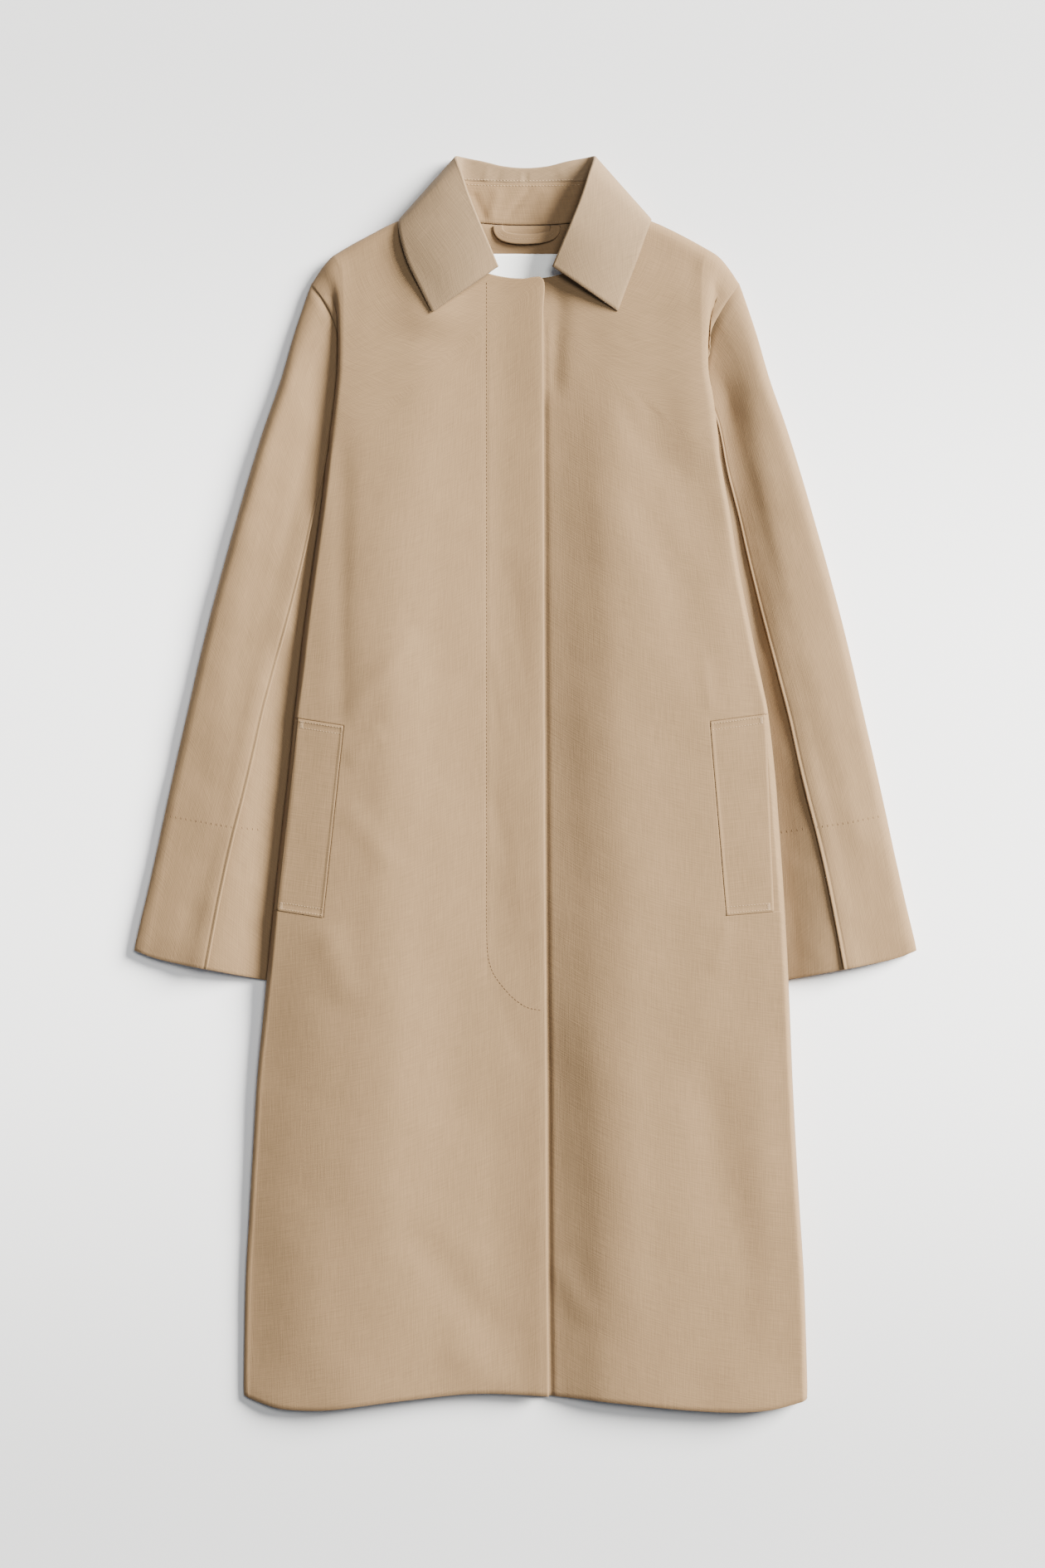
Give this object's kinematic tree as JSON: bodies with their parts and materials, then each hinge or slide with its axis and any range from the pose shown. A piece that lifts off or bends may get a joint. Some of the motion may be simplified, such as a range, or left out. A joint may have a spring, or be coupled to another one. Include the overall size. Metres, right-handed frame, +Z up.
{
  "type": "car coat",
  "caption": "Light cotton car coat laid flat on its back, with a fly front, a turned collar, welt pockets and two-piece sleeves.",
  "frame": {"origin": "middle of the coat's outline, on the surface it lies on", "axes": "+Y from the hem to the collar, +Z up out of the surface, +X to the wearer's left side"},
  "size_m": [0.7, 1.1184, 0.0337],
  "materials": {
    "twill": "matt finely woven cotton in a light tan",
    "label_satin": "smooth white satin tape"
  },
  "bodies": {
    "root": {"front_right": "twill", "front_left": "twill", "back": "twill", "sleeve_top_right": "twill", "sleeve_under_right": "twill", "sleeve_top_left": "twill", "sleeve_under_left": "twill", "collar_stand": "twill", "collar": "twill", "welt_right": "twill", "welt_left": "twill", "hanger_loop": "twill", "neck_label": "label_satin"}
  },
  "joints": []
}
